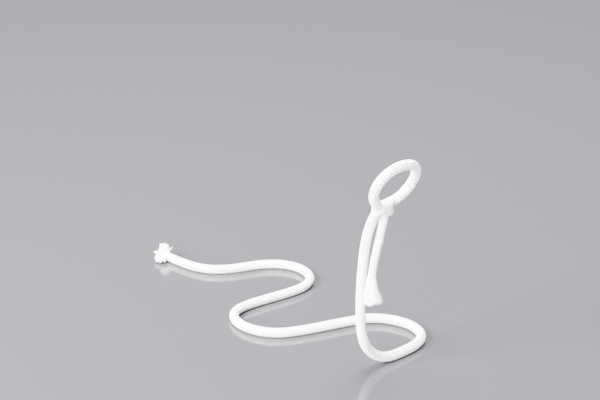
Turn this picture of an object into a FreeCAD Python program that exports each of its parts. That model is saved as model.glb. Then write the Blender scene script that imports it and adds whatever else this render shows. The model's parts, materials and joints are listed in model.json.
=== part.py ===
# Balancing rope holder: one length of stiff braided rope.
# It lies in waves, rises, bends into a noose that leans forward, and is knotted off there.
# The loose end hangs from the knot. Both ends of the rope are frayed.
# Frame: +X to the right, +Y to the back, +Z up, origin under the middle of the box. Millimetres.
import FreeCAD, Part
import math
import os

V = FreeCAD.Vector

# Driving dimensions
ROPE_R = 4.1            # stiffened rope
LOOSE_R = 3.4           # rope without the stiffener inside, in the knot and the hanging end
LIE_Z = 4.0             # height of the lying rope's centreline: the rope is pressed flat by 0.1
GAP = 0.3               # air between the hanging end and the riser

# Corners of the lying rope's route, from the frayed end to the foot: x, y, bend radius
BASE_ROUTE = [
    (-109.8, 113.0, 0.0),
    (-67.8, 76.6, 36.0),
    (-18.8, 97.4, 31.0),
    (14.2, 91.4, 38.0),
    (34.2, 55.4, 23.0),
    (-45.8, -7.6, 22.0),
    (-30.8, -35.6, 35.0),
    (-2.8, -51.6, 42.0),
    (78.2, -18.6, 39.0),
    (106.2, -24.6, 30.0),
    (132.2, -55.6, 25.0),
]
FOOT = (66.7, -107.6, 38.0)

# Corners of the riser above the foot: x, y, z, bend radius
RISER_ROUTE = [
    (66.1, -105.0, 78.0, 110.0),
    (69.0, -102.8, 112.0, 55.0),
]
NECK_R = 10.0           # bend from the riser into the noose
NECK_RUN = 7.0          # from that bend's corner to the start of the noose

# The noose, a round loop that leans forward and to the right
RING_LOW = (75.7, -109.9, 147.8)    # where the noose leaves the bend above the riser
RING_R = 21.5
RING_AXIS = V(0.60, -0.68, -0.42)   # the way through the noose: forward, to the right and down
RING_HIGH = V(0.733, 0.249, 0.633)  # towards the noose's highest side
RING_FROM = 185.0                   # degrees about the axis, counted from the high side
RING_TO = -112.0

# Knot: the rope's end comes off the noose and lies against the riser, and a flat turn of rope binds the two
LINK_RUN = 7.0          # from the noose's end to the corner of the loose rope
LINK_R = 6.0
BAND_HIGH = 6.8
BAND_THICK = 1.1
BAND_Z = 139.6          # middle of the turn
BAND_TILT = 10.0        # degrees that its right side is lower

# Corners of the hanging end, from under the knot down to the fray
TAIL_ROUTE = [
    (83.4, -101.8, 134.2),
    (81.4, -104.6, 121.5),
    (78.3, -106.4, 107.5),
    (75.7, -107.3, 95.5),
    (75.0, -107.6, 86.0),
]

# Frayed end of the hanging rope: a bell down to the middle of its tips, and its radius there
TAIL_FRAY_TIP = (76.5, -107.8, 62.0)
TAIL_FRAY_R = 7.4
TAIL_FRAY_WAIST = 1.3    # how much wider the bell is than the rope, a little above its middle

# Frayed end of the lying rope: a ball of strands with bundles that splay from it: direction, length
FRAY_BALL_R = 6.6
FRAY_BALL_OUT = 5.5
FRAY_BALL_Z = 6.2
BUNDLE_R = 3.0
BUNDLES = [
    (-0.20, 0.10, 1.00, 11.0),
    (-0.70, 0.20, 0.70, 9.6),
    (-0.97, 0.05, 0.10, 11.6),
    (-0.80, -0.50, -0.25, 11.0),
    (-0.25, -0.95, -0.20, 10.0),
    (0.60, 0.20, 0.75, 11.5),
    (-0.60, 0.80, 0.05, 10.0),
    (0.15, 0.90, 0.20, 9.0),
]

TABLE = 400.0           # side of the level surface that the lying rope is pressed flat on

os.makedirs("parts", exist_ok=True)


def corner(before, point, after, radius):
    """Start, middle and end of the arc that rounds a corner."""
    back = (before - point).normalize()
    ahead = (after - point).normalize()
    half = back.getAngle(ahead) / 2
    reach = radius / math.tan(half)
    inward = (back + ahead).normalize()
    middle = point + inward * (radius / math.sin(half) - radius)
    return point + back * reach, middle, point + ahead * reach


def route_edges(points, radii):
    """Straight runs through the points, joined by tangent arcs. The first and last radius are not used."""
    edges = []
    at = points[0]
    for i in range(1, len(points) - 1):
        start, middle, end = corner(points[i - 1], points[i], points[i + 1], radii[i])
        if (start - at).dot(points[i] - points[i - 1]) < 0:
            raise ValueError("the bend at corner %d doesn't fit its runs" % i)
        edges.append(Part.LineSegment(at, start).toShape())
        edges.append(Part.Arc(start, middle, end).toShape())
        at = end
    edges.append(Part.LineSegment(at, points[-1]).toShape())
    return edges


def tube(edges, radius):
    """A round solid along the edges."""
    path = Part.Wire(edges)
    first = edges[0]
    start = first.valueAt(first.FirstParameter)
    ahead = first.tangentAt(first.FirstParameter)
    ring = Part.Wire([Part.makeCircle(radius, start, ahead)])
    return path.makePipeShell([ring], True, False)


def export(shape, name):
    shape.exportStep("parts/" + name + ".step")
    print(name, "valid", shape.isValid(), "solids", len(shape.Solids), "volume", round(shape.Volume, 1))


# Stiffened rope: waves, foot, riser, noose
ring_axis = V(RING_AXIS).normalize()
ring_high = (RING_HIGH - ring_axis * RING_HIGH.dot(ring_axis)).normalize()
ring_side = ring_axis.cross(ring_high)
a_from = math.radians(RING_FROM)
ring_start = V(*RING_LOW)
ring_centre = ring_start - (ring_high * math.cos(a_from) + ring_side * math.sin(a_from)) * RING_R


def on_ring(degrees):
    """A point of the noose's centreline."""
    a = math.radians(degrees)
    return ring_centre + (ring_high * math.cos(a) + ring_side * math.sin(a)) * RING_R


ring_heading = ring_high * math.sin(a_from) - ring_side * math.cos(a_from)
neck = ring_start - ring_heading * NECK_RUN

points = [V(x, y, LIE_Z) for x, y, r in BASE_ROUTE] + [V(FOOT[0], FOOT[1], LIE_Z)]
radii = [r for x, y, r in BASE_ROUTE] + [FOOT[2]]
points += [V(x, y, z) for x, y, z, r in RISER_ROUTE] + [neck, ring_start]
radii += [r for x, y, z, r in RISER_ROUTE] + [NECK_R, 0.0]
run_edges = route_edges(points, radii)
ring_edge = Part.Arc(ring_start, on_ring((RING_FROM + RING_TO) / 2), on_ring(RING_TO)).toShape()
rope_edges = run_edges + [ring_edge]
rope_length = sum(edge.Length for edge in rope_edges)
rope_tube = tube(rope_edges, ROPE_R)
table_side = Part.makeBox(TABLE, TABLE, TABLE, V(-TABLE / 2, -TABLE / 2, -TABLE))
rope = rope_tube.cut(table_side)
export(rope, "stiff_rope")
print("noose centre", [round(v, 2) for v in ring_centre], "bend corner", [round(v, 1) for v in neck])
print("rope length", round(rope_length, 1), "section volume", round(rope_length * math.pi * ROPE_R ** 2, 1))

# Knot: the loose rope from the noose's end to the hanging end, and the flat turn that binds it to the riser
noose_end = on_ring(RING_TO)
a_to = math.radians(RING_TO)
end_heading = ring_high * math.sin(a_to) - ring_side * math.cos(a_to)
link_corner = noose_end + end_heading * LINK_RUN
tail_top = V(*TAIL_ROUTE[0])
link = tube(route_edges([noose_end, link_corner, tail_top], [0.0, LINK_R, 0.0]), LOOSE_R)


def at_height(low, high, z):
    """The point of the line from low to high at that height."""
    return low + (high - low) * ((z - low.z) / (high.z - low.z))


riser_at = at_height(V(*RISER_ROUTE[-1][:3]), neck, BAND_Z)
loose_at = at_height(tail_top, link_corner, BAND_Z)
band_tilt = math.radians(BAND_TILT)
band_up = V(math.sin(band_tilt), 0, math.cos(band_tilt))
band_foot = band_up * (-BAND_HIGH / 2)


def band_core(at, radius):
    """A short upright cylinder round one of the two ropes."""
    return Part.makeCylinder(radius, BAND_HIGH, at + band_foot, band_up)


riser_round = ROPE_R + BAND_THICK
loose_round = LOOSE_R + BAND_THICK
apart = loose_at - riser_at
flat_apart = apart - band_up * apart.dot(band_up)
side_way = band_up.cross(flat_apart).normalize()
lower = [riser_at + side_way * riser_round, loose_at + side_way * loose_round]
lower += [loose_at - side_way * loose_round, riser_at - side_way * riser_round]
web = Part.Face(Part.makePolygon([p + band_foot for p in lower + lower[:1]])).extrude(band_up * BAND_HIGH)
band = web.fuse(band_core(riser_at, riser_round)).fuse(band_core(loose_at, loose_round))
knot = band.fuse(link).cut(rope_tube)
knot_solid = max(knot.Solids, key=lambda solid: solid.Volume)
export(knot_solid, "ring_knot")
print("knot pieces", [round(solid.Volume, 2) for solid in knot.Solids], "bound at", riser_at, loose_at)

# Hanging end: each arc as large as its runs allow
tail_points = [V(x, y, z) for x, y, z in TAIL_ROUTE]
tail_radii = [0.0]
for i in range(1, len(tail_points) - 1):
    back = tail_points[i - 1] - tail_points[i]
    ahead = tail_points[i + 1] - tail_points[i]
    half_turn = (math.pi - back.getAngle(ahead)) / 2
    tail_radii.append(0.45 * min(back.Length, ahead.Length) / math.tan(half_turn))
tail_radii.append(0.0)
tail_edges = route_edges(tail_points, tail_radii)
tail_length = sum(edge.Length for edge in tail_edges)
tail_tube = tube(tail_edges, LOOSE_R)
tail = tail_tube.cut(knot_solid).cut(rope_tube)
tail_solid = max(tail.Solids, key=lambda solid: solid.Volume)
export(tail_solid, "hanging_tail")
print("tail radii", [round(r, 1) for r in tail_radii[1:-1]], "runs",
      [round((tail_points[i + 1] - tail_points[i]).Length, 1) for i in range(len(tail_points) - 1)])
print("tail length", round(tail_length, 1), "section volume", round(tail_length * math.pi * LOOSE_R ** 2, 1),
      "tube volume", round(tail_tube.Volume, 1), "after the knot's cut", [round(s.Volume, 1) for s in tail.Solids])

# Fray of the hanging end: a bell that leans away from the riser
tail_end = tail_points[-1]
tail_way = (tail_points[-1] - tail_points[-2]).normalize()
bell_tip = V(*TAIL_FRAY_TIP)
bell_way = (bell_tip - tail_end).normalize()
bell_rings = [
    Part.Wire([Part.makeCircle(LOOSE_R, tail_end, tail_way)]),
    Part.Wire([Part.makeCircle(LOOSE_R + TAIL_FRAY_WAIST, tail_end + (bell_tip - tail_end) * 0.45, bell_way)]),
    Part.Wire([Part.makeCircle(TAIL_FRAY_R, bell_tip, bell_way)]),
]
bell = Part.makeLoft(bell_rings, True, False)
riser_room = tube(rope_edges, ROPE_R + GAP)
bell = bell.cut(riser_room)
export(max(bell.Solids, key=lambda solid: solid.Volume), "tail_fray")

# Fray of the lying end: a ball with splayed bundles of strands
base_end = points[0]
base_way = (points[0] - points[1]).normalize()
ball_at = base_end + base_way * FRAY_BALL_OUT
ball_at.z = FRAY_BALL_Z
fray = Part.makeCone(ROPE_R, FRAY_BALL_R * 0.8, FRAY_BALL_OUT, base_end, base_way)
fray = fray.fuse(Part.makeSphere(FRAY_BALL_R, ball_at))
for x, y, z, reach in BUNDLES:
    fray = fray.fuse(Part.makeCone(BUNDLE_R, BUNDLE_R * 0.5, reach, ball_at, V(x, y, z).normalize()))
fray = fray.cut(rope_tube).cut(table_side)
fray_solid = max(fray.Solids, key=lambda solid: solid.Volume)
export(fray_solid, "base_fray")

box = rope.optimalBoundingBox(False)
for solid in (knot_solid, fray_solid):
    box.add(solid.optimalBoundingBox(False))
print("box", [round(v, 2) for v in (box.XMin, box.XMax, box.YMin, box.YMax, box.ZMin, box.ZMax)])
print("middle", round((box.XMin + box.XMax) / 2, 2), round((box.YMin + box.YMax) / 2, 2))
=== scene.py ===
import json
import math
import random

import bpy
import numpy as np
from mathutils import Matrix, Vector


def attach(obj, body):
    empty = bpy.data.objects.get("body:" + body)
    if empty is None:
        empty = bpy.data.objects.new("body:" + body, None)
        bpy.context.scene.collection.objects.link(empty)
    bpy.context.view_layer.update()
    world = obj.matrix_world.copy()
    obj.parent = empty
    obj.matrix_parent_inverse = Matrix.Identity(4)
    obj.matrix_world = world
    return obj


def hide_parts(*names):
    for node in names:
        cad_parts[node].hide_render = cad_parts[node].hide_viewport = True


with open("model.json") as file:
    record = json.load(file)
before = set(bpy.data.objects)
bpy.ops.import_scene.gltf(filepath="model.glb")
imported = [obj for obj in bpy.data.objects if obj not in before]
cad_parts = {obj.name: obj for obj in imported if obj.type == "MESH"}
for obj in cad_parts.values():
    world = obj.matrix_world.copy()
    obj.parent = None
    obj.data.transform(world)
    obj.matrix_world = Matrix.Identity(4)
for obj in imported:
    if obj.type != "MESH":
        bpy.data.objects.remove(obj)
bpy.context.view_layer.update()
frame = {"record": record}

# Camera. It stands about a metre in front of the holder and half a metre above the floor, and looks
# straight ahead and down. The photograph was taken from there, through a lens about this long.
CAMERA_PLACE = (0.0175, -1.0474, 0.5205)
CAMERA_DOWN = 21.5
CAMERA_LENS = 78.0
CAMERA_SENSOR = 36.0
camera_data = bpy.data.cameras.new("camera")
camera_data.lens = CAMERA_LENS
camera_data.sensor_width = CAMERA_SENSOR
camera = bpy.data.objects.new("camera", camera_data)
camera.location = CAMERA_PLACE
camera.rotation_euler = (math.radians(90 - CAMERA_DOWN), 0, 0)
bpy.context.scene.collection.objects.link(camera)
bpy.context.scene.camera = camera

# Rope. The holder is one length of white braid, 8 mm thick: 24 yarns, each over two and under two. A rod
# inside it is bent by hand into waves, foot, riser and noose, and ends at the knot. Below the knot the
# sleeve is empty, thinner and limp, and hangs beside the riser down to where it is combed out.
MM = 0.001

# The rope's route, in millimetres: the waves, which all lie at one height, the riser, the bends into the
# noose and out of it, and the hanging end.
LYING_HEIGHT = 4.0
WAVES = [
    (-109.8, 111.6), (-99.6, 102.0), (-89.0, 93.0), (-78.0, 86.4), (-65.8, 82.6), (-48.6, 84.0),
    (-31.4, 90.8), (-14.0, 96.2), (3.6, 94.6), (17.8, 86.2), (26.0, 72.6), (27.4, 58.8),
    (22.2, 45.6), (12.5, 35.9), (-1.8, 25.8), (-17.9, 15.2), (-31.4, 5.2), (-40.1, -5.7),
    (-41.6, -17.0), (-36.2, -30.8), (-24.0, -42.2), (-7.9, -48.4), (5.2, -47.6), (21.0, -43.0),
    (43.7, -33.2), (64.0, -24.5), (76.0, -20.4), (87.8, -19.9), (100.6, -24.0), (112.0, -31.0),
    (119.2, -40.8), (121.9, -51.7), (119.8, -62.7), (112.6, -73.2), (102.8, -82.3), (92.0, -91.1),
]
RISER = [
    (82.5, -97.7, 7.5), (73.8, -103.8, 16.2), (68.7, -108.4, 27.5), (66.4, -108.4, 42.0),
    (66.1, -106.8, 58.0), (66.5, -105.4, 76.0), (67.2, -104.6, 90.0), (68.3, -103.8, 103.0),
    (69.9, -103.2, 115.0), (72.5, -103.2, 126.0), (75.5, -103.6, 134.0), (77.8, -104.8, 140.0),
]
INTO_NOOSE = [(78.6, -107.0, 143.6), (77.8, -109.8, 146.8)]
OUT_OF_NOOSE = [(84.9, -98.9, 143.7), (83.6, -100.2, 139.2)]
TAIL_ROUTE = [
    (83.4, -101.8, 134.2),
    (81.4, -104.6, 121.5),
    (78.3, -106.4, 107.5),
    (75.7, -107.3, 95.5),
    (75.0, -107.6, 86.0),
]

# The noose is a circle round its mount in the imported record, dropped a little, and it sags on its high side.
# It starts narrower, where it leaves the riser. Angles round it are in degrees from its highest point.
NOOSE_MOUNT = next(mount for mount in frame["record"]["mounts"] if mount["name"] == "neck_ring")
NOOSE_DROP = 0.2
NOOSE_CENTRE = Vector(NOOSE_MOUNT["pos_m"]) / MM - Vector((0, 0, NOOSE_DROP))
NOOSE_AXIS = Vector(NOOSE_MOUNT["axis"]).normalized()
NOOSE_HIGH = Vector((0.733, 0.249, 0.633)).normalized()
NOOSE_SIDE = NOOSE_AXIS.cross(NOOSE_HIGH)
NOOSE_RADIUS = 22.3
NOOSE_SAG = 1.7
NOOSE_SAG_AT = 25
NOOSE_START = [(164, 21.0), (137, 21.3)]
NOOSE_ROUND = range(110, -112, -27)


def on_noose(degrees, radius):
    """A point round the noose."""
    a = math.radians(degrees)
    sag = Vector((0, 0, NOOSE_SAG * max(0, math.cos(a - math.radians(NOOSE_SAG_AT))) ** 2))
    return tuple(NOOSE_CENTRE + (NOOSE_HIGH * math.cos(a) + NOOSE_SIDE * math.sin(a)) * radius - sag)


def smooth_line(name, route):
    """The points of a smooth curve along the route, in metres."""
    curve = bpy.data.curves.new(name, "CURVE")
    curve.dimensions = "3D"
    curve.resolution_u = 24
    spline = curve.splines.new("NURBS")
    spline.points.add(len(route) - 1)
    for point, (x, y, z) in zip(spline.points, route):
        point.co = (x * MM, y * MM, z * MM, 1)
    spline.order_u = 3
    spline.use_endpoint_u = True
    holder = bpy.data.objects.new(name, curve)
    mesh = bpy.data.meshes.new_from_object(holder)
    points = np.array([v.co[:] for v in mesh.vertices])
    bpy.data.objects.remove(holder)
    bpy.data.meshes.remove(mesh)
    return points


def lengths_along(points):
    """How far along a line each of its points lies."""
    return np.concatenate([[0], np.cumsum(np.linalg.norm(np.diff(points, axis=0), axis=1))])


def length_of(points):
    """The whole length of a line."""
    return float(lengths_along(points)[-1])


lying = [(x, y, LYING_HEIGHT) for x, y in WAVES]
noose = [on_noose(degrees, radius) for degrees, radius in NOOSE_START]
noose += [on_noose(degrees, NOOSE_RADIUS) for degrees in NOOSE_ROUND]
stiff_route = lying + RISER + INTO_NOOSE + noose + OUT_OF_NOOSE + TAIL_ROUTE[:1]
stiff_line = smooth_line("stiff_line", stiff_route)
tail_line = smooth_line("tail_line", TAIL_ROUTE)

# The braid. Twelve yarns wind each way. A yarn is an arch in section, given by angles from edge to edge. It
# is lifted where it runs over others, and sunk as far where it runs under them. Its UV values differ from
# those of the yarn before by a shift along it and one across it, so that no two are shaded alike.
YARNS = 12
YARN_RISE = math.radians(38)
YARN_FILL = 0.93
YARN_HALF = 0.44 * MM
YARN_LIFT = 0.36 * MM
YARN_SECTION = [(math.cos(a), math.sin(a)) for a in np.radians((0, 42, 90, 138, 180))]
YARN_UV_SHIFT = (0.0371, 3)
RING_STEP = 0.62 * MM
OUTLINE_POINTS = 181
LINING_SIDES = 24
LINING_EVERY = 3
LINING_INSET = YARN_HALF + YARN_LIFT * 0.6
FIRST_UP = np.array((0.13, 0.27, 0.95))


class Line:
    """Evenly spaced points of a line, each with a direction along it and two across it."""

    def __init__(self, points, step, axis=None):
        along = lengths_along(points)
        count = max(2, int(round(along[-1] / step)) + 1)
        self.at = np.linspace(0, along[-1], count)
        self.points = np.stack([np.interp(self.at, along, points[:, k]) for k in range(3)], 1)
        self.ahead = np.gradient(self.points, axis=0)
        self.ahead /= np.linalg.norm(self.ahead, axis=1)[:, None]
        self.up = np.zeros_like(self.points)
        up = FIRST_UP
        for i, ahead in enumerate(self.ahead):
            if axis is not None:
                up = self.points[i] - axis(self.points[i])
            up = up - ahead * (up @ ahead)
            up /= np.linalg.norm(up)
            self.up[i] = up
        self.side = np.cross(self.ahead, self.up)

    def stretch(self, part):
        """The places, points and three directions of a part of the line."""
        return (values[part] for values in (self.at, self.points, self.ahead, self.up, self.side))


def tube_faces(rings, sides):
    """Four-sided faces of a tube, counted ring by ring, and the cap at each of its ends."""
    a = np.arange(rings - 1)[:, None] * sides
    k = np.arange(sides)[None, :]
    after = (k + 1) % sides
    quads = np.stack([a + k, a + after, a + sides + after, a + sides + k], -1).reshape(-1, 4)
    caps = np.stack([np.arange(sides)[::-1], (rings - 1) * sides + np.arange(sides)])
    return quads, caps


class Tubes:
    """Closed tubes that are gathered one by one, and then made into one mesh object."""

    def __init__(self):
        self.points, self.uvs, self.quads, self.caps = [], [], [], []
        self.count = 0

    def add(self, rings, uv_along, uv_across, faces):
        """One tube: its rings of points, a UV value for each ring and each point of a ring, and its faces."""
        quads, caps = faces
        self.points.append(rings.reshape(-1, 3))
        self.uvs.append(np.stack([np.repeat(uv_along, len(uv_across)), np.tile(uv_across, len(uv_along))], 1))
        self.quads.append(quads + self.count)
        self.caps.append(caps + self.count)
        self.count += len(uv_along) * len(uv_across)

    def piece(self, name):
        """The smooth mesh object of all the tubes."""
        points = np.concatenate(self.points)
        uvs = np.concatenate(self.uvs)
        faces = [np.concatenate(self.quads), np.concatenate(self.caps)]
        corners = np.concatenate([f.ravel() for f in faces])
        sizes = np.concatenate([np.full(len(f), f.shape[1]) for f in faces])
        starts = np.concatenate([[0], np.cumsum(sizes)[:-1]])
        mesh = bpy.data.meshes.new(name)
        mesh.vertices.add(len(points))
        mesh.vertices.foreach_set("co", np.asarray(points, np.float32).ravel())
        mesh.loops.add(len(corners))
        mesh.loops.foreach_set("vertex_index", corners.astype(np.int32))
        mesh.polygons.add(len(sizes))
        mesh.polygons.foreach_set("loop_start", starts.astype(np.int32))
        layer = mesh.uv_layers.new(name="yarn")
        layer.data.foreach_set("uv", np.asarray(uvs, np.float32)[corners].ravel())
        mesh.update(calc_edges=True)
        mesh.validate()
        mesh.polygons.foreach_set("use_smooth", np.full(len(mesh.polygons), True))
        piece = bpy.data.objects.new(name, mesh)
        bpy.context.scene.collection.objects.link(piece)
        return piece


def even_turns(tall, wide):
    """Angles round a flattened ring, and how far round it each lies, so that yarns can keep even gaps."""
    turns = np.linspace(0, 2 * math.pi, OUTLINE_POINTS)
    outline = np.stack([tall.mean() * np.cos(turns), wide.mean() * np.sin(turns)], 1)
    way_round = lengths_along(outline)
    way_round *= 2 * math.pi / way_round[-1]
    return way_round, turns


def sleeve(name, line, tall, wide, ways, part=slice(None)):
    """The yarns of a braided sleeve. tall and wide are half its height and width at each point of the line.

    ways holds 1 for the yarns that wind one way and -1 for those that wind the other way.
    """
    at, points, ahead, up, side = line.stretch(part)
    tall = (tall - YARN_HALF - YARN_LIFT)[part][:, None]
    wide = (wide - YARN_HALF - YARN_LIFT)[part][:, None]
    radius = np.sqrt((tall ** 2 + wide ** 2) / 2)
    pitch = 2 * math.pi * float(radius[0, 0]) / math.tan(YARN_RISE)
    half_wide = math.pi * radius / YARNS * math.cos(YARN_RISE) * YARN_FILL
    way_round, turns = even_turns(tall, wide)
    crossing = at / (pitch / (2 * YARNS))
    shift_along, shift_across = YARN_UV_SHIFT
    quads, caps = tube_faces(len(points), len(YARN_SECTION))
    uv_across = np.linspace(0, 1, len(YARN_SECTION))
    tubes = Tubes()
    for way in ways:
        # The faces are turned outward, and each is split along the diagonal that keeps the yarn full.
        faces = np.roll(quads[:, ::-1], max(way, 0), axis=1), caps[:, ::-1]
        for i in range(YARNS):
            turn = (2 * math.pi * i / YARNS + way * 2 * math.pi * at / pitch) % (2 * math.pi)
            turn = np.interp(turn, way_round, turns)[:, None]
            cos, sin = np.cos(turn), np.sin(turn)
            out = up * cos * wide + side * sin * tall
            out /= np.linalg.norm(out, axis=1)[:, None]
            over = way * np.cos(way * math.pi / 2 * crossing + math.pi * i + math.pi / 4)[:, None]
            centre = points + up * cos * tall + side * sin * wide + out * (YARN_LIFT * over)
            edge = np.cross(ahead, out) * math.cos(YARN_RISE) - way * ahead * math.sin(YARN_RISE)
            rings = [centre + edge * half_wide * c + out * YARN_HALF * s for c, s in YARN_SECTION]
            uv_along = at / math.cos(YARN_RISE) + shift_along * i
            tubes.add(np.stack(rings, 1), uv_along, uv_across + shift_across * i, faces)
    return tubes.piece(name)


def lining(name, line, tall, wide, part=slice(None)):
    """The closed inner wall under the yarns, which shows in the small gaps between them. It is given a dark
    material, painted shade for those gaps.
    """
    part = slice(part.start, part.stop, LINING_EVERY)
    at, points, _, up, side = line.stretch(part)
    turn = np.linspace(0, 2 * math.pi, LINING_SIDES, endpoint=False)
    upward = np.cos(turn)[None, :] * (tall[part] - LINING_INSET)[:, None]
    sideways = np.sin(turn)[None, :] * (wide[part] - LINING_INSET)[:, None]
    rings = points[:, None] + up[:, None] * upward[:, :, None] + side[:, None] * sideways[:, :, None]
    tubes = Tubes()
    tubes.add(rings, at, turn / (2 * math.pi), tube_faces(len(points), LINING_SIDES))
    return tubes.piece(name)


# Shading of all yarn, and the colour sockets of a Mix node: its two inputs and its result.
WHITE = (1, 1, 1)
STRETCH_GRAIN = (300.0, 0.4, 1.0)
STRETCH_SHADE = (0.58, 0.58, 0.61)
MIX_FIRST, MIX_SECOND, MIX_RESULT = 6, 7, 2


def yarn_material(name, colour, shade, grain, depth, sheen=0.35, edge=1.0):
    """Matt textile yarn, with fine threads and greyer stretches along it. Below 1, edge darkens its edges with
    painted shade, standing in for the shade in the grooves between yarns.
    """
    material = bpy.data.materials.new(name)
    material.use_nodes = True
    nodes, links = material.node_tree.nodes, material.node_tree.links
    shader = nodes["Principled BSDF"]
    shader.inputs["Roughness"].default_value = 0.85
    shader.inputs["Sheen Weight"].default_value = sheen
    shader.inputs["Sheen Roughness"].default_value = 0.45
    shader.inputs["Specular IOR Level"].default_value = 0.25
    uv = nodes.new("ShaderNodeUVMap")
    uv.uv_map = "yarn"

    def noise(scale, detail):
        mapping = nodes.new("ShaderNodeMapping")
        mapping.inputs["Scale"].default_value = scale
        links.new(uv.outputs["UV"], mapping.inputs["Vector"])
        texture = nodes.new("ShaderNodeTexNoise")
        texture.inputs["Scale"].default_value = 1.0
        texture.inputs["Detail"].default_value = detail
        texture.inputs["Roughness"].default_value = 0.6
        links.new(mapping.outputs["Vector"], texture.inputs["Vector"])
        return texture.outputs["Fac"]

    def ramp(value, stops):
        node = nodes.new("ShaderNodeValToRGB")
        while len(node.color_ramp.elements) < len(stops):
            node.color_ramp.elements.new(0.5)
        for element, (place, tone) in zip(node.color_ramp.elements, stops):
            element.position = place
            element.color = (*tone, 1)
        links.new(value, node.inputs["Fac"])
        return node.outputs["Color"]

    def times(first, second):
        node = nodes.new("ShaderNodeMix")
        node.data_type = "RGBA"
        node.blend_type = "MULTIPLY"
        node.inputs["Factor"].default_value = 1.0
        links.new(first, node.inputs[MIX_FIRST])
        links.new(second, node.inputs[MIX_SECOND])
        return node.outputs[MIX_RESULT]

    threads = noise((*grain, 1.0), 3.0)
    stretches = noise(STRETCH_GRAIN, 2.0)
    tone = ramp(threads, [(0.30, shade), (0.62, colour)])
    tone = times(tone, ramp(stretches, [(0.40, STRETCH_SHADE), (0.60, WHITE)]))
    # Painted shade: both edges of each yarn are darkened, as if shaded in the grooves between yarns.
    if edge < 1:
        split = nodes.new("ShaderNodeSeparateXYZ")
        links.new(uv.outputs["UV"], split.inputs["Vector"])
        across = nodes.new("ShaderNodeMath")
        across.operation = "FRACT"
        links.new(split.outputs["Y"], across.inputs[0])
        painted_groove_shade = (edge, edge, edge * 1.02)
        stops = [(0.04, painted_groove_shade), (0.30, WHITE), (0.70, WHITE), (0.96, painted_groove_shade)]
        tone = times(tone, ramp(across.outputs["Value"], stops))
    links.new(tone, shader.inputs["Base Color"])
    bump = nodes.new("ShaderNodeBump")
    bump.inputs["Strength"].default_value = 0.55
    bump.inputs["Distance"].default_value = depth
    links.new(threads, bump.inputs["Height"])
    links.new(bump.outputs["Normal"], shader.inputs["Normal"])
    return material


# braid_white has painted shade along its yarns' edges (edge=0.20), for the grooves between them.
braid_white = yarn_material("braid_white", colour=(0.93, 0.93, 0.935), shade=(0.78, 0.78, 0.81),
                            grain=(900.0, 9.0), depth=0.5 * MM, edge=0.20)
# The lining's dark colour is painted shade, for the shadowed gaps between the yarns.
lining_painted_shade = yarn_material("lining_painted_shade", colour=(0.26, 0.26, 0.29), shade=(0.20, 0.20, 0.23),
                             grain=(900.0, 40.0), depth=0.3 * MM)

# How thick the rope is along its length. It narrows about the rod's end, which lies a little before the limp
# part, and the knot pulls it in where it binds the riser and the loose rope.
ROPE_RADIUS = 4.1 * MM
LOOSE_RADIUS = 3.4 * MM
ROD_SHORT = 4 * MM
KNOT_PULL = 0.4 * MM
KNOT_PULL_SPAN = 4.5 * MM
RISER_IN_KNOT = np.array((77.6, -104.8, 140.2)) * MM
LOOSE_IN_KNOT = np.array((84.0, -100.0, 139.6)) * MM
rope = Line(np.concatenate([stiff_line, tail_line[1:]]), RING_STEP)
tail_from = int(np.searchsorted(rope.at, length_of(stiff_line)))
rod_end = length_of(stiff_line) - ROD_SHORT
thickness = [
    (rod_end - 10 * MM, ROPE_RADIUS),
    (rod_end + 7 * MM, LOOSE_RADIUS + 0.45 * MM),
    (rod_end + 14 * MM, LOOSE_RADIUS),
    (rope.at[-1] - 3 * MM, LOOSE_RADIUS),
    (rope.at[-1], LOOSE_RADIUS * 0.95),
]
rope_half = np.interp(rope.at, *zip(*thickness))
for place in (RISER_IN_KNOT, LOOSE_IN_KNOT):
    bound = rope.at[np.argmin(np.linalg.norm(rope.points - place, axis=1))]
    rope_half = rope_half - KNOT_PULL * np.exp(-((rope.at - bound) / KNOT_PULL_SPAN) ** 2)

# The stiff part and the limp one meet at a ring that both have. The stiff lining runs a little further.
tail = sleeve("hanging_end", rope, rope_half, rope_half, (1, -1), slice(tail_from, None))
tail_core = lining("hanging_end_core", rope, rope_half, rope_half, slice(tail_from, None))
rope_right = sleeve("rope_yarns_right", rope, rope_half, rope_half, (1,), slice(0, tail_from + 1))
rope_left = sleeve("rope_yarns_left", rope, rope_half, rope_half, (-1,), slice(0, tail_from + 1))
rope_core = lining("rope_core", rope, rope_half, rope_half, slice(0, tail_from + 3))
for piece in (tail, rope_right, rope_left):
    piece.data.materials.append(braid_white)
for piece in (tail_core, rope_core):
    piece.data.materials.append(lining_painted_shade)
for piece in (tail, tail_core, rope_right, rope_left, rope_core):
    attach(piece, "root")
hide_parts("hanging_tail")
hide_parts("stiff_rope")

# Knot. A short turn and a half of the same sleeve, pulled flat and tight round the riser and the loose rope
# where they lie side by side. Its end is tucked under the turn, at the front.
KNOT_TURN = [
    (80.6, -102.6, 140.4), (81.4, -97.2, 142.2), (85.8, -94.8, 143.2), (89.4, -97.6, 143.8),
    (89.4, -102.4, 143.9), (86.4, -107.0, 143.3), (81.6, -109.6, 142.2), (77.4, -109.6, 141.4),
    (74.9, -106.2, 140.8), (75.2, -100.8, 140.4), (79.2, -96.2, 139.8), (84.4, -94.4, 139.2),
    (89.2, -97.0, 138.7), (89.8, -101.8, 138.6), (86.8, -106.0, 139.1), (82.4, -107.6, 140.3),
    (79.2, -106.8, 141.6),
]
KNOT_TALL = 1.7 * MM
KNOT_WIDE = 3.4 * MM
KNOT_RING_STEP = 0.45 * MM


def knot_axis(point):
    """The nearest place between the two ropes that the turn binds, at the same height."""
    between = LOOSE_IN_KNOT - RISER_IN_KNOT
    share = np.clip((point - RISER_IN_KNOT)[:2] @ between[:2] / (between[:2] @ between[:2]), 0, 1)
    near = RISER_IN_KNOT + between * share
    near[2] = point[2]
    return near


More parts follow.
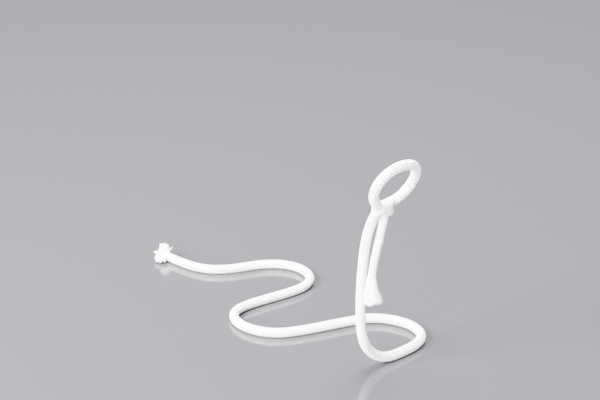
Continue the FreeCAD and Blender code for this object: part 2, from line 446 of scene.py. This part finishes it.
knot_line = Line(smooth_line("knot_line", KNOT_TURN), KNOT_RING_STEP, knot_axis)
knot_tall = np.full(len(knot_line.at), KNOT_TALL)
knot_wide = np.full(len(knot_line.at), KNOT_WIDE)
knot = sleeve("knot_turn", knot_line, knot_tall, knot_wide, (1, -1))
knot_core = lining("knot_turn_core", knot_line, knot_tall, knot_wide)
knot.data.materials.append(braid_white)
knot_core.data.materials.append(lining_painted_shade)
for piece in (knot, knot_core):
    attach(piece, "root")
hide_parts("ring_knot")

# Frayed tip of the hanging end. Below its last crossing the sleeve is combed out into its crimped yarns and
# these into fibres, so it opens like a small bell with a ragged lower edge.
FIBRE_RINGS = 13
FIBRE_SIDES = 5
FIBRE_UV_SHIFT = 0.1
FIBRE_FIRST_UP = (0.31, 0.87, 0.38)
FLOOR_GAP = 0.1 * MM
RISER_GAP = 0.25 * MM
CRIMP_LENGTHS = (5.2 * MM, 4.3 * MM)
GOLDEN_ANGLE = 2.39996
THICKNESS_VARIES = (0.85, 1.15)


def crimp_waves(u, length, phase):
    """How far a fibre waves in x, y and z along its length, as yarn from a braid does, from -1 to 1."""
    along = u * length * 2 * math.pi
    sideways = np.cos(along / CRIMP_LENGTHS[0] + phase)
    forward = np.sin(along / CRIMP_LENGTHS[1] + phase * 1.7)
    upward = 0.4 * np.sin(u * 9 + phase)
    grown = np.minimum(1, u * 4)[:, None]
    return np.stack([sideways, forward, upward], 1) * grown


def fibres(name, paths, half_widths, crimp, keep_off=None):
    """Soft fibres, each a curve over a path of four points. keep_off is where an upright rope stands."""
    faces = tube_faces(FIBRE_RINGS, FIBRE_SIDES)
    u = np.linspace(0, 1, FIBRE_RINGS)
    v = u[:, None]
    turn = np.linspace(0, 2 * math.pi, FIBRE_SIDES, endpoint=False)
    tip_rounding = np.sqrt(np.clip(1 - (u * 1.01) ** 24, 0.10, 1))
    tubes = Tubes()
    for number, (path, half) in enumerate(zip(paths, half_widths)):
        a, b, c, d = (np.array(point) for point in path)
        line = a * (1 - v) ** 3 + 3 * b * v * (1 - v) ** 2 + 3 * c * v ** 2 * (1 - v) + d * v ** 3
        length = np.linalg.norm(line[-1] - line[0])
        line = line + crimp_waves(u, length, GOLDEN_ANGLE * number) * crimp
        if keep_off is not None:
            away = line[:, :2] - keep_off
            far = np.linalg.norm(away, axis=1)
            least = ROPE_RADIUS + half + RISER_GAP
            line[:, :2] = keep_off + away * (np.maximum(far, least) / far)[:, None]
        line[:, 2] = np.maximum(line[:, 2], half + FLOOR_GAP)
        ahead = np.gradient(line, axis=0)
        ahead /= np.linalg.norm(ahead, axis=1)[:, None]
        up = np.cross(ahead, FIBRE_FIRST_UP)
        up /= np.linalg.norm(up, axis=1)[:, None]
        side = np.cross(ahead, up)
        round_it = up[:, None] * np.cos(turn)[None, :, None] + side[:, None] * np.sin(turn)[None, :, None]
        rings = line[:, None] + (half * tip_rounding)[:, None, None] * round_it
        tubes.add(rings, u * length + FIBRE_UV_SHIFT * number, np.linspace(0, 1, FIBRE_SIDES), faces)
    return tubes.piece(name)


# The bell. Its yarns fill it evenly from the middle outward, and the fine fibres lie among them. Its radius
# is given in millimetres at the root, at two shares of its drop and at the tip. It swells more and ends
# narrower on its left. Its lower edge slopes, and hangs in locks that end higher or lower.
BELL_TOP = Vector((75.0, -107.6, 88.0)) * MM
BELL_BOTTOM = Vector((75.7, -107.8, 61.9)) * MM
BELL_YARNS = 170
BELL_FIBRES = 800
BELL_YARN_HALF = 0.50 * MM
BELL_FIBRE_HALF = 0.15 * MM
BELL_CRIMP = 0.35 * MM
BELL_ROOT_RADIUS = 2.8
BELL_HANG, BELL_HANG_RADIUS = 0.36, 2.2
BELL_FLARE, BELL_FLARE_RADIUS = 0.66, 4.9
BELL_TIP_RADIUS = 8.5
BELL_LEFT_SWELL = 2.0
BELL_LEFT_TIP = 0.82
BELL_SLOPE = (0.9, -1.4)
BELL_LOCKS = (-0.2, 0.5, -0.6, 0.3, -0.6, -0.7, -0.4, -0.6, 0.5, -0.2, 0.3)
BELL_RAGGED = 0.35
RISER_BESIDE_BELL = np.array((66.5, -105.8)) * MM
dice = random.Random(7)
bell_paths, bell_sizes = [], []
for number in range(BELL_YARNS + BELL_FIBRES):
    is_yarn = number < BELL_YARNS
    angle = number * GOLDEN_ANGLE
    reach = math.sqrt((number + 0.5) / BELL_YARNS if is_yarn else dice.random())
    spread = Vector((math.cos(angle), math.sin(angle), 0)) * reach * MM
    on_left = spread.x < 0
    swell = Vector((spread.x * (BELL_LEFT_SWELL if on_left else 1.0), spread.y, 0))
    tip = Vector((spread.x * (BELL_LEFT_TIP if on_left else 1.0), spread.y, 0))
    lock = BELL_LOCKS[int(angle / (2 * math.pi) * len(BELL_LOCKS)) % len(BELL_LOCKS)]
    ragged = (lock + dice.uniform(-BELL_RAGGED, BELL_RAGGED) * (1 if is_yarn else 2)) * MM
    drop = BELL_SLOPE[0] * spread.x + BELL_SLOPE[1] * spread.y + ragged
    bottom = BELL_BOTTOM + Vector((0, 0, drop))
    bell_paths.append((
        BELL_TOP + spread * BELL_ROOT_RADIUS,
        BELL_TOP.lerp(bottom, BELL_HANG) + swell * BELL_HANG_RADIUS,
        BELL_TOP.lerp(bottom, BELL_FLARE) + swell * BELL_FLARE_RADIUS,
        bottom + tip * BELL_TIP_RADIUS,
    ))
    half = BELL_YARN_HALF if is_yarn else BELL_FIBRE_HALF
    bell_sizes.append(half * dice.uniform(*THICKNESS_VARIES))
tail_fray = fibres("hanging_fray", bell_paths, bell_sizes, BELL_CRIMP, keep_off=RISER_BESIDE_BELL)
strand_white = yarn_material("strand_white", colour=(0.92, 0.92, 0.925), shade=(0.74, 0.74, 0.77),
                             grain=(700.0, 3.0), depth=0.2 * MM, sheen=0.45)
tail_fray.data.materials.append(strand_white)
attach(tail_fray, "root")
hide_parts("tail_fray")

# Frayed tuft at the lying tip. The rod stops short of it, and the sleeve is opened all round into a small
# flower of crimped yarns. They lie together in soft lobes, and a few thin ones stand off.
TUFT_ROOT = Vector((-107.6, 110.0, 4.4)) * MM
TUFT_HEART = Vector((-114.4, 115.2, 5.8)) * MM
TUFT_YARN_HALF = 0.52 * MM
TUFT_FIBRE_HALF = 0.16 * MM
TUFT_CRIMP = 0.34 * MM
TUFT_STRANDS = 7
TUFT_THICK_STRANDS = 2
TUFT_FILL = 0.4
TUFT_BEND_BACK, TUFT_BEND_OUT = 0.2, 0.35
GATHER_START, GATHER_SHARE, GATHER_MOST = 0.8, 1.2, 2.8

# Each lobe: the middle of its tip and how far it spreads there, in millimetres, and how many bundles it has.
# A bundle is a few strands, some of them thick. A lobe of one bundle has thin ones alone. At the root and the
# heart a lobe is gathered to about its spread.
TUFT_LOBES = [
    ((-117.9, 116.8, 13.8), 2.3, 18),
    ((-115.2, 116.6, 14.7), 2.4, 20),
    ((-112.5, 116.4, 14.1), 2.1, 16),
    ((-119.4, 117.2, 9.6), 2.2, 12),
    ((-124.7, 116.2, 7.8), 0.6, 5),
    ((-122.6, 116.0, 7.2), 1.5, 8),
    ((-121.0, 115.2, 5.4), 2.6, 16),
    ((-122.0, 110.6, 4.6), 2.5, 16),
    ((-121.4, 106.8, 3.2), 2.2, 14),
    ((-118.0, 105.6, 3.1), 2.4, 16),
    ((-114.4, 106.6, 3.3), 2.4, 14),
    ((-107.2, 115.8, 12.9), 0.6, 1),
    ((-119.2, 121.6, 5.0), 2.4, 10),
    ((-112.6, 122.0, 6.0), 2.4, 10),
]
tuft_paths, tuft_sizes = [], []
for place, spread, bundles in TUFT_LOBES:
    tip_middle = Vector(place) * MM
    gather = min(GATHER_MOST, GATHER_START + GATHER_SHARE * spread) * MM
    for number in range(bundles * TUFT_STRANDS):
        is_yarn = number < bundles * TUFT_THICK_STRANDS and bundles > 1
        shift = Vector([dice.uniform(-1, 1) for _ in range(3)])
        shift = shift.normalized() * dice.random() ** TUFT_FILL
        root = TUFT_ROOT + shift * gather
        middle = TUFT_HEART + shift * gather
        tip = tip_middle + shift * spread * MM
        tuft_paths.append((root, middle.lerp(root, TUFT_BEND_BACK), middle.lerp(tip, TUFT_BEND_OUT), tip))
        half = TUFT_YARN_HALF if is_yarn else TUFT_FIBRE_HALF
        tuft_sizes.append(half * dice.uniform(*THICKNESS_VARIES))
base_fray = fibres("lying_fray", tuft_paths, tuft_sizes, TUFT_CRIMP)
base_fray.data.materials.append(strand_white)
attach(base_fray, "root")
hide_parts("base_fray")

# Floor and light. A plain floor with a soft gloss, pale grey under the studio's light, which comes from three
# large soft panels to the left, in front and above. The floor doesn't mirror the panels.
FLOOR_SIZE = 8.0
FLOOR_COLOUR = (0.027, 0.0275, 0.029, 1)
FLOOR_ROUGHNESS = 0.12
LIGHT_TARGET = Vector((0, 0, 0.06))
SURROUNDINGS_COLOUR = (0.86, 0.87, 1.0, 1)
SURROUNDINGS_STRENGTH = 1.3
bpy.ops.mesh.primitive_plane_add(size=FLOOR_SIZE, location=(0, 0, 0))
floor = bpy.context.object
floor.name = "floor"
floor_material = bpy.data.materials.new("floor_paint")
floor_material.use_nodes = True
floor_shader = floor_material.node_tree.nodes["Principled BSDF"]
floor_shader.inputs["Base Color"].default_value = FLOOR_COLOUR
floor_shader.inputs["Roughness"].default_value = FLOOR_ROUGHNESS
floor.data.materials.append(floor_material)


def panel(name, place, size, power):
    """A soft square light that faces the holder."""
    data = bpy.data.lights.new(name, "AREA")
    data.energy = power
    data.shape = "SQUARE"
    data.size = size
    light = bpy.data.objects.new(name, data)
    light.location = place
    light.rotation_euler = (LIGHT_TARGET - Vector(place)).to_track_quat("-Z", "Y").to_euler()
    light.visible_glossy = False
    bpy.context.scene.collection.objects.link(light)


panel("key_panel", place=(-1.2, -0.85, 1.05), size=0.7, power=620)
panel("fill_panel", place=(-0.45, -1.5, 0.3), size=0.9, power=230)
panel("top_panel", place=(0.1, 0.35, 1.7), size=0.9, power=380)
world = bpy.data.worlds.new("studio")
world.use_nodes = True
background = world.node_tree.nodes["Background"]
background.inputs["Color"].default_value = SURROUNDINGS_COLOUR
background.inputs["Strength"].default_value = SURROUNDINGS_STRENGTH
bpy.context.scene.world = world
